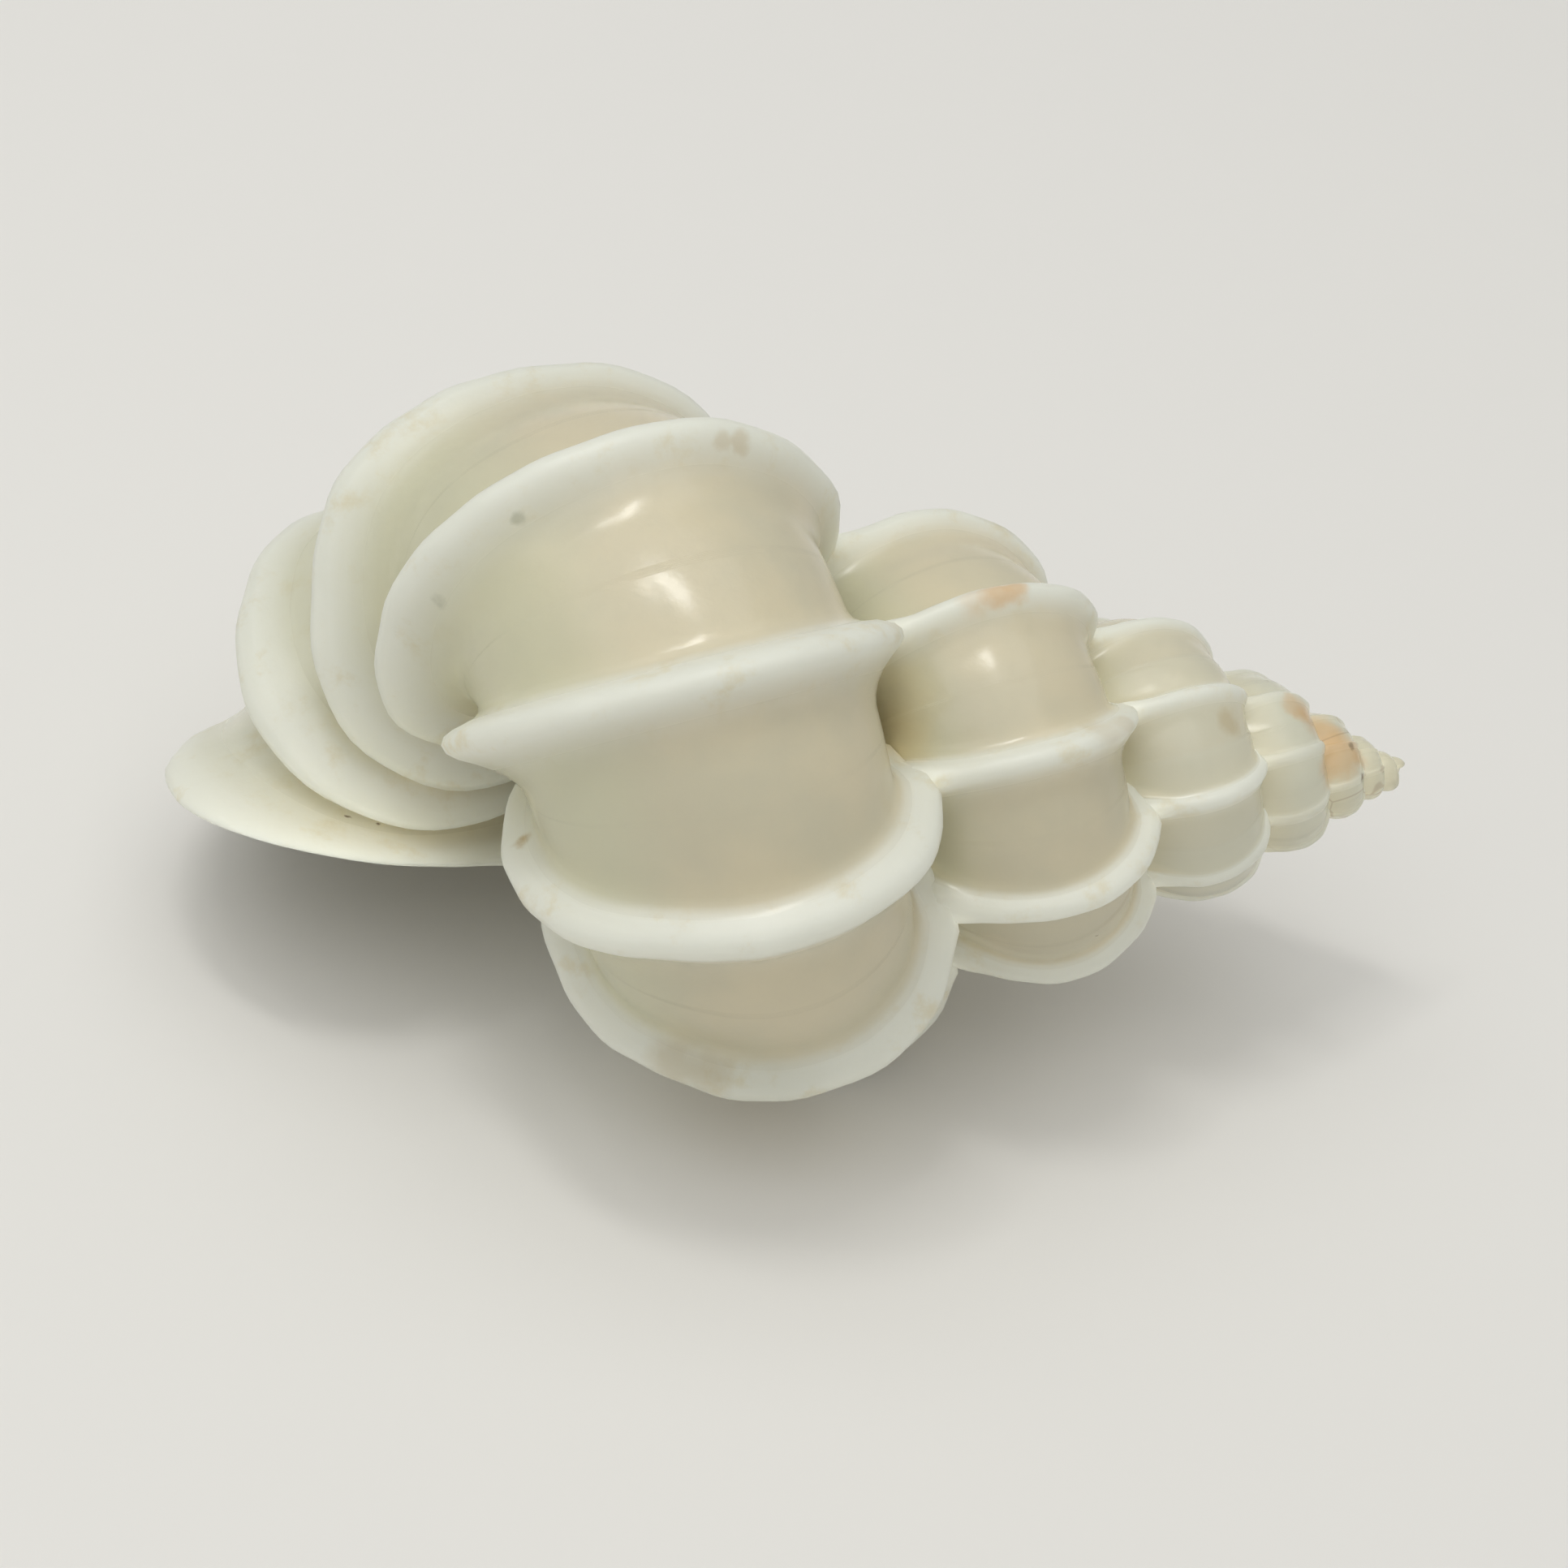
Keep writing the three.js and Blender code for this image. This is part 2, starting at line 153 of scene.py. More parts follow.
class ShellShape(PropertyGroup):
    """Driving dimensions of the shell, as they are at rib 0. Older ribs have negative numbers."""

    coil_radius: FloatProperty(
        name="Coil radius", description="From the axis to the middle of the rib",
        default=8.8 * MM, unit="LENGTH", precision=5)
    coil_depth: FloatProperty(
        name="Coil depth", description="From the start of the coil to the rib, along the axis",
        default=36.26 * MM, unit="LENGTH", precision=5)
    rib_radius: FloatProperty(
        name="Rib radius", description="From the middle of the rib to its crest",
        default=8.28 * MM, unit="LENGTH", precision=5)
    tube_scale: FloatProperty(
        name="Tube", description="The tube's surface on the last whorls, as a share of the rib's crest",
        default=0.76)
    old_tube_scale: FloatProperty(
        name="Old tube", description="The same on the oldest whorls, where the ribs are low", default=0.88)
    tip_side_swell: FloatProperty(
        name="Tip side swell", description="How much fuller the tube is on the side near the tip",
        default=0.07)
    point_swell: FloatProperty(
        name="Point swell", description="How much fuller the tube is at the blunt point", default=0.55)
    fillet: FloatProperty(
        name="Fillet", description="Distance over which one whorl blends into the next",
        default=3.4 * MM, unit="LENGTH", precision=4)
    suture_drop: FloatProperty(
        name="Suture drop", description="How much lower a rib gets where it meets the older whorl",
        default=0.5)
    drop_reach: FloatProperty(
        name="Drop reach", description="Distance from the older whorl over which ribs get lower",
        default=3.0 * MM, unit="LENGTH", precision=4)
    unevenness: FloatProperty(
        name="Unevenness", description="Waves along the ribs' crests, as a share of their radius",
        default=0.01)
    bore_scale: FloatProperty(
        name="Bore", description="The hollow inside the tube, as a share of the rib's crest", default=0.68)
    lip_rib: IntProperty(name="Lip rib", description="The rib at the edge of the mouth", default=4)
    oldest_rib: IntProperty(name="Oldest rib", description="Whorls older than this are smooth", default=-44)
    tip_rib: IntProperty(name="Tip", description="Where the tube starts, counted in ribs", default=-58)
    low_rib: IntProperty(name="Low rib", description="Ribs up to this one are low", default=-24)
    high_rib: IntProperty(
        name="High rib", description="Ribs from this one on have their full height", default=-6)
    swollen_rib: IntProperty(
        name="Swollen rib", description="The tube swells towards the point from here", default=-47)
    bore_end_rib: IntProperty(name="Bore end", description="Where the hollow closes", default=-12)
    start_angle: FloatProperty(
        name="Start angle", description="Where rib 0 stands round the axis", default=0.37, subtype="ANGLE")
    rib_angle: FloatProperty(
        name="Rib angle", description="From one rib to the next",
        default=0.7167, subtype="ANGLE", precision=4)
    rib_angle_drift: FloatProperty(
        name="Rib angle drift", description="How the angle between ribs changes with age", default=-0.0005)
    radius_growth: FloatVectorProperty(
        name="Coil radius growth", description="Growth for a radian, and how it changes",
        size=2, default=(0.0693, -0.00027))
    depth_growth: FloatVectorProperty(
        name="Coil depth growth", description="Growth for a radian, and how it changes",
        size=2, default=(0.0802, -0.00002))
    rib_growth: FloatVectorProperty(
        name="Rib growth", description="Growth for a radian, and how it changes",
        size=2, default=(0.071, -0.00014))
    stretch: FloatProperty(
        name="Axial stretch", description="Outline's length along the axis", default=1.105)
    axial_shift: FloatProperty(
        name="Axial shift", description="Share of the radius, to the tip", default=0.039)
    outward_shift: FloatProperty(name="Outward shift", description="Share of the radius", default=-0.008)
    lean: FloatProperty(
        name="Lean", description="The side near the tip leads", default=0.263, subtype="ANGLE")
    swing: FloatProperty(
        name="Swing", description="The outer side of a rib lags", default=-0.34, subtype="ANGLE")
    stretch_change: FloatProperty(name="Stretch change", description="For each radian", default=-0.006)
    shift_change: FloatProperty(name="Shift change", description="For each radian", default=-0.0016)
    swing_change: FloatProperty(name="Swing change", description="For each radian", default=-0.0055)
    oldest_change: FloatProperty(
        name="Oldest change", description="The outline of whorls older than this angle is constant",
        default=-16.0)
    lip_size: FloatProperty(name="Lip size", description="Size of the last rib", default=0.97)
    lip_lean: FloatProperty(
        name="Lip lean", description="Extra lean of the last rib", default=-0.07, subtype="ANGLE")
    lip_swing: FloatProperty(
        name="Lip swing", description="Extra swing of the last rib", default=-0.04, subtype="ANGLE")
    rest_roll: FloatProperty(
        name="Rest roll", description="Turn about the shell's own axis",
        default=math.radians(-133.12), subtype="ANGLE")
    rest_pitch: FloatProperty(
        name="Rest pitch", description="Turn that lays the shell on its side",
        default=math.radians(90.42), subtype="ANGLE")
    columns: IntProperty(name="Columns", description="Points round the tube", default=80, min=8)


class ShellFinish(PropertyGroup):
    """Colours of the shell as sRGB hex, and the scale of its patterns."""

    rib_colour: StringProperty(name="Ribs", description="Ivory aragonite of the ribs", default="E5E6DA")
    worn_colour: StringProperty(name="Worn ribs", description="Yellowish worn patches", default="D6CBA6")
    tube_colour: StringProperty(name="Tube", description="Beige glaze of the tube", default="D8CEB1")
    tube_grey: StringProperty(name="Tube, cool patches", description="Greyer glaze", default="CFC8AE")
    base_colour: StringProperty(
        name="Base side", description="Paler glaze towards the base", default="CFCFB2")
    old_colour: StringProperty(name="Old whorls", description="Pale, thin old whorls", default="D7D7C4")
    # Tan tint where whorls meet: partly the glaze's own tint, partly painted light that lifts the shade in
    # the groove
    suture_tint_and_painted_light: StringProperty(name="Suture", description="Tan tint where whorls meet", default="DCC898")
    crack_colour: StringProperty(name="Cracks", description="Dirt in fine cracks", default="8F6F4C")
    cloud_size: FloatProperty(
        name="Cloud size", description="Size of the soft colour clouds",
        default=6 * MM, unit="LENGTH", precision=4)
    worn_size: FloatProperty(
        name="Worn size", description="Size of the worn patches on the ribs",
        default=2.2 * MM, unit="LENGTH", precision=4)
    ragged_size: FloatProperty(
        name="Ragged size", description="Size of the waves in the edges of stains",
        default=0.9 * MM, unit="LENGTH", precision=4)
    crack_distance: FloatProperty(
        name="Crack distance", description="From one fine crack to the next",
        default=3 * MM, unit="LENGTH", precision=4)
    grain_size: FloatProperty(
        name="Grain size", description="Size of the unevenness in the glaze",
        default=1.2 * MM, unit="LENGTH", precision=4)
    relief: FloatProperty(
        name="Relief", description="Height of growth lines and grain",
        default=0.06 * MM, unit="LENGTH", precision=5)
    light_reach: FloatProperty(
        name="Light reach", description="How far light goes into the shell",
        default=2.2 * MM, unit="LENGTH", precision=4)


class StudioSettings(PropertyGroup):
    """Camera and soft studio light. The camera looks at the shell as the photograph does."""

    aim: FloatVectorProperty(
        name="Aim", description="Point at the middle of the picture", subtype="TRANSLATION", unit="LENGTH",
        default=(0.04 * MM, 1.53 * MM, 9.19 * MM), precision=5)
    distance: FloatProperty(
        name="Distance", description="From the camera to the aim", default=175.8 * MM, unit="LENGTH")
    azimuth: FloatProperty(
        name="Azimuth", description="Round the shell, from the front", default=math.radians(-13.9),
        subtype="ANGLE")
    elevation: FloatProperty(
        name="Elevation", description="Above the floor", default=math.radians(42.33), subtype="ANGLE")
    roll: FloatProperty(
        name="Roll", description="Turn of the camera about its view", default=math.radians(9.12),
        subtype="ANGLE")
    lens: FloatProperty(name="Lens", description="Focal length in millimetres", default=88.28)
    floor_colour: StringProperty(name="Floor", description="Pale studio floor", default="EFEDE9")


def srgb(hex_colour):
    """Linear colour, with alpha 1, of an sRGB hex colour."""
    values = [int(hex_colour[start:start + 2], 16) / 255 for start in (0, 2, 4)]
    linear = [value / 12.92 if value <= 0.04045 else ((value + 0.055) / 1.055) ** 2.4 for value in values]
    return (*linear, 1.0)


def growth_angle(shape, rib):
    """Angle round the axis at a rib number: the rib angle times the number, plus a small square term."""
    return shape.rib_angle * rib + shape.rib_angle_drift * rib * rib


def growth(angle, rate_and_drift):
    """Size at an angle, as a share of the size at rib 0: exponential, with a slowly changing rate."""
    rate, drift = rate_and_drift
    return np.exp(rate * angle + drift * angle * angle)


def smoothstep(value, low, high):
    """0 below low, 1 above high, and an S curve between them."""
    share = np.clip((value - low) / (high - low), 0.0, 1.0)
    return share * share * (3 - 2 * share)


def lip_share(shape, angle):
    """0 up to the rib before the lip, 1 at the lip."""
    return smoothstep(angle, growth_angle(shape, shape.lip_rib - 1), growth_angle(shape, shape.lip_rib))


def outline_frame(shape, angle):
    """Size and directions of a rib's outline at an angle: it leans and swings out of the radial plane."""
    lip = lip_share(shape, angle)
    lean = shape.lean + lip * shape.lip_lean
    swing = shape.swing + shape.swing_change * outline_change(shape, angle) + lip * shape.lip_swing
    size = shape.rib_radius * growth(angle, shape.rib_growth) * (1 + lip * (shape.lip_size - 1))
    turn = shape.start_angle + angle
    zero = np.zeros_like(turn)
    outward = np.stack([np.cos(turn), -np.sin(turn), zero], axis=-1)
    forward = np.stack([-np.sin(turn), -np.cos(turn), zero], axis=-1)
    to_tip = np.array([0.0, 0.0, 1.0])
    rib_outward = np.cos(swing)[..., None] * outward + np.sin(swing)[..., None] * forward
    rib_up = np.cos(lean)[..., None] * to_tip + np.sin(lean)[..., None] * forward
    return size, rib_outward, rib_up


def outline_change(shape, angle):
    """Angle that the slow changes of the outline follow: they stop in the oldest whorls."""
    return np.maximum(angle, shape.oldest_change)


def outline_shifts(shape, angle):
    """Stretch along the axis, and how far the outline's middle lies outwards and towards the tip."""
    change = outline_change(shape, angle)
    return (shape.stretch + shape.stretch_change * change,
            shape.outward_shift + shape.shift_change * change, shape.axial_shift)


def outline_radius(around):
    """Radius of a rib's outline, a circle with low waves, as a share of the rib's radius."""
    return 1 + sum(height * np.cos(count * (around - math.radians(peak)))
                   for count, height, peak in OUTLINE_WAVES)


def shell_points(shape, angle, around, scale):
    """Points of the shell in its own upright frame.

    The middle of the tube goes round the axis on a spiral whose radius and depth grow exponentially. Round
    it stands a rib outline, a circle with low waves. angle, around and scale are arrays that broadcast
    together; scale is 1 on the crest of a rib.
    """
    size, rib_outward, rib_up = outline_frame(shape, angle)
    stretch, out_shift, up_shift = outline_shifts(shape, angle)
    radius = outline_radius(around)
    across = radius * np.cos(around) + out_shift
    along = stretch * (radius * np.sin(around) + up_shift)
    return (tube_middle(shape, angle)
            + (scale * size * across)[..., None] * rib_outward
            + (scale * size * along)[..., None] * rib_up)


def tube_middle(shape, angle):
    """Middle of the tube at an angle, on the spiral."""
    turn = shape.start_angle + angle
    radius = shape.coil_radius * growth(angle, shape.radius_growth)
    depth = shape.coil_depth * growth(angle, shape.depth_growth)
    return np.stack([radius * np.cos(turn), -radius * np.sin(turn), -depth], axis=-1)


def path_length(shape, points, angle):
    """Length of a point's path for one radian: round the axis, and along it by the depth's growth."""
    climb = shape.depth_growth[0] * shape.coil_depth * growth(angle, shape.depth_growth)
    return np.sqrt(points[..., 0] ** 2 + points[..., 1] ** 2 + climb ** 2)


def shift_angle(shape, rib, around, scale, along):
    """Angle to coil on so that points move forward by `along`, however close to the axis they lie.

    The length of the path for one radian is worked out at each point. The angle bends smoothly towards
    half the way to the next rib, so rows never pass the middle between two ribs.
    """
    angle = growth_angle(shape, rib)
    points = shell_points(shape, angle + 0 * around, around, scale)
    path = path_length(shape, points, angle)
    half = np.where(along >= 0, rib + 0.5, rib - 0.5)
    limit = np.abs(growth_angle(shape, half) - angle)
    wanted = along * growth(angle, shape.rib_growth) / path
    return limit * np.tanh(wanted / limit)


def spline(points, steps):
    """Smooth curve near the points: a uniform cubic B-spline that starts and ends on the end points."""
    points = np.array(points, float)
    points = np.vstack([2 * points[0] - points[1], points, 2 * points[-1] - points[-2]])
    place = np.linspace(0, len(points) - 3, steps)
    first = np.minimum(place.astype(int), len(points) - 4)
    t = (place - first)[:, None]
    weights = ((1 - t) ** 3 / 6, (3 * t ** 3 - 6 * t ** 2 + 4) / 6,
               (-3 * t ** 3 + 3 * t ** 2 + 3 * t + 1) / 6, t ** 3 / 6)
    return sum(weight * points[first + step] for step, weight in enumerate(weights))


def section_rows(front, front_rows, steps):
    """Rows of one rib: millimetres forward and rise, from half way behind it to half way in front."""
    section = spline(RIB_BACK + RIB_CREST + front, steps)
    back = [(along, 0.0) for along in TUBE_ROWS_BACK]
    ahead = [(along, 0.0) for along in front_rows]
    return np.array(back + section.tolist() + ahead)


def tube_scale(shape, rib, around):
    """The tube's surface as a share of the rib's crest.

    It is larger on old whorls, on the side near the tip, and towards the blunt point.
    """
    height = smoothstep(rib, shape.low_rib, shape.high_rib)
    tip_side = (0.5 + 0.5 * np.sin(around)) ** 2
    point = 1 - smoothstep(rib, shape.tip_rib, shape.swollen_rib)
    return (shape.old_tube_scale + (shape.tube_scale - shape.old_tube_scale) * height
            + shape.tip_side_swell * tip_side + shape.point_swell * point)


def grid_rows(shape):
    """Every row of the surface from the tip to the mouth and back into the hollow.

    Returns arrays with one value a row: rib number, millimetres forward, rise from the tube to the crest,
    and the share that a row inside the tube or at its closed tip is shrunk to.
    """
    rows = [(shape.tip_rib - before, 0.0, 0.0, share) for before, share in ROUND_END]
    for rib in np.arange(shape.tip_rib, shape.oldest_rib - 0.5, SMOOTH_STEP):
        rows.append((rib, 0.0, 0.0, 1.0))
    fine_section = section_rows(RIB_FRONT, TUBE_ROWS_FRONT, FINE_STEPS)
    plain_section = section_rows(RIB_FRONT, TUBE_ROWS_FRONT[::2], PLAIN_STEPS)
    for rib in range(shape.oldest_rib, shape.lip_rib):
        for along, rise in (fine_section if rib > LAST_PLAIN_RIB else plain_section):
            rows.append((rib, along, rise, 1.0))
    for along, rise in section_rows(LIP_FRONT, (), LIP_STEPS):
        rows.append((shape.lip_rib, along, rise, 1.0))
    hollow_length = shape.lip_rib - shape.bore_end_rib
    for back in np.linspace(HOLLOW_START, hollow_length, HOLLOW_ROWS):
        narrowing = max(1 - (back / hollow_length) ** 3, HOLLOW_END)
        share = shape.bore_scale / shape.tube_scale * narrowing
        rows.append((shape.lip_rib - back, 0.0, 0.0, share))
    return np.array(rows).T


def rest_matrix(shape):
    """Turn that lays the shell down: first about its own axis, then about Y."""
    return np.array(Matrix.Rotation(shape.rest_pitch, 3, "Y") @ Matrix.Rotation(shape.rest_roll, 3, "Z"))


def rib_at(shape, angle):
    """Rib number at an angle, the inverse of growth_angle."""
    drift, step = shape.rib_angle_drift, shape.rib_angle
    return (np.sqrt(step * step + 4 * drift * angle) - step) / (2 * drift)


def rise_between(shape, rib, along):
    """Rise of the surface by its distance from the nearest rib, for ribs that stand proud of the tube."""
    section = np.array(RIB_BACK + RIB_CREST + RIB_FRONT)
    order = np.argsort(section[:, 0])
    rise = np.interp(along, section[order, 0], section[order, 1])
    return np.where(rib >= shape.oldest_rib, rise, 0.0)


def whorl_gap(shape, points, angle):
    """Distance from each point to the surface of the whorl that passes at about the given angle.

    The angle is turned on until the outline's plane there passes through the point. The point's place in
    that plane gives the scale of the outline through it, and that less the surface's own scale, times the
    outline's size, is the distance. Where the tube has ended the distance is large.
    """
    for _ in range(PLANE_STEPS):
        _, rib_outward, rib_up = outline_frame(shape, angle)
        offset = points - tube_middle(shape, angle)
        miss = np.sum(offset * np.cross(rib_outward, rib_up), axis=-1)
        path = path_length(shape, points, angle)
        angle = angle + np.clip(miss / path, -LONGEST_TURN, LONGEST_TURN)
    size, rib_outward, rib_up = outline_frame(shape, angle)
    offset = points - tube_middle(shape, angle)
    stretch, out_shift, up_shift = outline_shifts(shape, angle)
    across = np.sum(offset * rib_outward, axis=-1) / size
    along = np.sum(offset * rib_up, axis=-1) / size / stretch
    scale = np.full(across.shape, shape.tube_scale)
    for _ in range(OUTLINE_STEPS):
        x, y = across / scale - out_shift, along / scale - up_shift
        around = np.arctan2(y, x)
        scale *= np.hypot(x, y) / outline_radius(around)
    rib = rib_at(shape, angle)
    nearest = np.clip(np.round(rib), shape.tip_rib, shape.lip_rib)
    from_rib = (angle - growth_angle(shape, nearest)) * path / growth(angle, shape.rib_growth)
    tube = tube_scale(shape, rib, around)
    surface = tube + (1 - tube) * rise_between(shape, rib, from_rib / MM)
    gap = (scale - surface) * size
    return np.where((rib > shape.lip_rib) | (rib < shape.tip_rib), FAR, gap)


def outward_normals(points, middles):
    """Normals of a grid of points that closes round, from its differences, turned away from the middles."""
    beside = np.roll(points, -1, axis=1) - np.roll(points, 1, axis=1)
    onwards = np.gradient(points, axis=0)
    normals = np.cross(beside, onwards)
    normals /= np.maximum(np.linalg.norm(normals, axis=-1, keepdims=True), 1e-12)
    return normals * np.sign(np.sum(normals * (points - middles)))


def rib_height(shape, rib, around, tube):
    """Height of the ribs as a share of their full height: lower near the older whorl that they grow onto."""
    angle = growth_angle(shape, rib) + 0 * around
    gap = whorl_gap(shape, shell_points(shape, angle, around, tube), angle - 2 * math.pi)
    reach = shape.drop_reach * growth(angle, shape.rib_growth)
    return 1 - shape.suture_drop * (1 - smoothstep(gap, 0.0, reach))


def blend_whorls(shape, points, angle, is_outside):
    """Fill the grooves between whorls with a soft fillet, and return the distance to the younger whorl.

    Each point moves out along its normal by a quarter of the fillet's reach times the square of one less its
    distance to the next whorl over that reach, which rounds the corner where two surfaces meet.
    """
    older, younger = (whorl_gap(shape, points, angle + turn) for turn in (-2 * math.pi, 2 * math.pi))
    reach = shape.fillet * growth(angle, shape.rib_growth)
    near = np.clip(1 - np.abs(np.minimum(older, younger)) / reach, 0.0, 1.0)
    lift = is_outside * reach / 4 * near ** 2
    normals = outward_normals(points, tube_middle(shape, angle))
    return points + lift[..., None] * normals, younger


def grid_faces(rows, columns):
    """Quads between the rows of a grid that closes round."""
    row, column = np.meshgrid(np.arange(rows - 1), np.arange(columns), indexing="ij")
    beside = (column + 1) % columns
    quads = np.stack([row * columns + column, row * columns + beside,
                      (row + 1) * columns + beside, (row + 1) * columns + column], axis=-1)
    return quads.reshape(-1, 4).tolist()


def end_fans(rows, columns):
    """Triangles that close the first and last row, to two middle points that come after the grid's own."""
    middle = rows * columns
    last = middle - columns
    ring = [(column, (column + 1) % columns) for column in range(columns)]
    return ([[middle, after, here] for here, after in ring]
            + [[middle + 1, last + here, last + after] for here, after in ring])


def build_mesh(name, points, faces):
    """Smooth-shaded mesh from points and faces."""
    mesh = bpy.data.meshes.new(name)
    mesh.from_pydata(points.tolist(), [], faces)
    mesh.validate()
    mesh.polygons.foreach_set("use_smooth", np.ones(len(mesh.polygons), bool))
    mesh.update()
    return mesh


def add_attribute(mesh, name, values):
    """Store one number for each point of the mesh."""
    attribute = mesh.attributes.new(name, "FLOAT", "POINT")
    attribute.data.foreach_set("value", np.ascontiguousarray(values, dtype=np.float32))


def crest_height(shape, rib, around):
    """Height of the crests: 1, with the waves of CREST_WAVES along them."""
    waves = sum(weight * np.sin(count * around + turn * rib) for count, turn, weight in CREST_WAVES)
    return 1 + shape.unevenness * waves


def lay_down(shape, points):
    """Turn the upright shell to how it rests, and centre it in its CAD node's box, on the box's floor."""
    placed = points @ rest_matrix(shape).T
    low, high = placed.min(axis=(0, 1)), placed.max(axis=(0, 1))
    cad_low, cad_high = (np.array(corner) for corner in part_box("shell"))
    middle = (cad_low + cad_high - low - high) / 2
    return placed + np.array([middle[0], middle[1], cad_low[2] - low[2]])


def ivory_mask(shape, rib, along, rise):
    """1 where the ivory of the ribs covers the tube: steep in front, soft behind, and pale on old whorls."""
    ivory = np.where(along > FRONT_EDGE, smoothstep(rise, 0.0, 0.4), smoothstep(rise, 0.0, 1.0))
    ivory *= OLD_IVORY + (1 - OLD_IVORY) * smoothstep(rib, *IVORY_STRENGTHENS)
    ivory *= smoothstep(rib, *IVORY_BEGINS)
    return np.maximum(ivory, LIP_IVORY * smoothstep(rib, LIP_IVORY_START, shape.lip_rib))


def cracked_mask(rib):
    """1 on the worn whorls that have fine cracks, fading out at both ends."""
    oldest, youngest = CRACKED_RIBS
    begins = smoothstep(rib, oldest, oldest + CRACK_FADE)
    return begins * (1 - smoothstep(rib, youngest - CRACK_FADE, youngest))


def make_shell(shape):
    """Fine surface of the shell: a grid with a row for each step along the coil and a column round it."""
    rib, along, rise, share = (values[:, None] for values in grid_rows(shape))
    around = np.linspace(0, 2 * math.pi, shape.columns, endpoint=False)[None, :]
    tube = tube_scale(shape, rib, around)
    height = np.where(rise > 0, rib_height(shape, rib, around, tube), 1.0)
    scale = share * (tube + (crest_height(shape, rib, around) - tube) * rise * height)
    angle = growth_angle(shape, rib) + shift_angle(shape, rib, around, scale, along * MM)
    is_outside = (share == 1.0) & (rise > -0.1)
    points, gap = blend_whorls(shape, shell_points(shape, angle, around, scale), angle, is_outside)
    placed = lay_down(shape, points)

    rows, columns = placed.shape[:2]
    ends = np.stack([placed[0].mean(axis=0), placed[-1].mean(axis=0)])
    mesh = build_mesh("shell_surface", np.vstack([placed.reshape(-1, 3), ends]),
                      grid_faces(rows, columns) + end_fans(rows, columns))
    masks = {"rise": rise, "ivory": ivory_mask(shape, rib, along, rise), "coil": rib, "gap": gap,
             "base_side": BASE_STRENGTH * smoothstep(-np.sin(around), 0.1, 0.95),
             "cracked": CRACK_STRENGTH * cracked_mask(rib)}
    for name, values in masks.items():
        flat = np.broadcast_to(values, (rows, columns)).reshape(-1)
        add_attribute(mesh, name, np.append(flat, [flat[0], flat[-1]]))
    return mesh


def add_node(tree, kind, inputs=None, **settings):
    """Add a shader node, set its own settings and its input values, and return it."""
    node = tree.nodes.new(kind)
    for name, value in settings.items():
        setattr(node, name, value)
    for name, value in (inputs or {}).items():
        if isinstance(value, bpy.types.NodeSocket):
            tree.links.new(value, node.inputs[name])
        else:
            node.inputs[name].default_value = value
    return node


def paint(tree, under, over, value, value_range, strengths):
    """Paint one colour over another.

    The strength goes smoothly from the first to the second of strengths as the value goes through its range.
    """
    mask = add_node(tree, "ShaderNodeMapRange", {
        "Value": value, "From Min": value_range[0], "From Max": value_range[1],
        "To Min": strengths[0], "To Max": strengths[1],
    }, interpolation_type="SMOOTHSTEP").outputs["Result"]
    return add_node(tree, "ShaderNodeMix", {0: mask, 6: under, 7: over}, data_type="RGBA").outputs[2]


def paint_stains_and_painted_light(tree, place, colour, ragged_size):
    """Paint soft round stains and patches of painted light and shade, with edges made ragged by a fine
    noise.
    """
    noise = add_node(tree, "ShaderNodeTexNoise", {"Vector": place, "Scale": 1 / ragged_size, "Detail": 4.0})
    centred = add_node(tree, "ShaderNodeVectorMath", {0: noise.outputs["Color"], 1: (0.5, 0.5, 0.5)},
                       operation="SUBTRACT").outputs["Vector"]
    push = add_node(tree, "ShaderNodeVectorMath", {0: centred, "Scale": ragged_size}, operation="SCALE")
    ragged = add_node(tree, "ShaderNodeVectorMath", {0: place, 1: push.outputs["Vector"]},
                      operation="ADD").outputs["Vector"]
    for centre, reach, hex_colour, strength in STAINS_AND_PAINTED_LIGHT:
        distance = add_node(tree, "ShaderNodeVectorMath", {0: ragged, 1: [MM * value for value in centre]},
                            operation="DISTANCE").outputs["Value"]
        colour = paint(tree, colour, srgb(hex_colour), distance,
                       (PATCH_CORE * reach * MM, reach * MM), (strength, 0.0))
    return colour


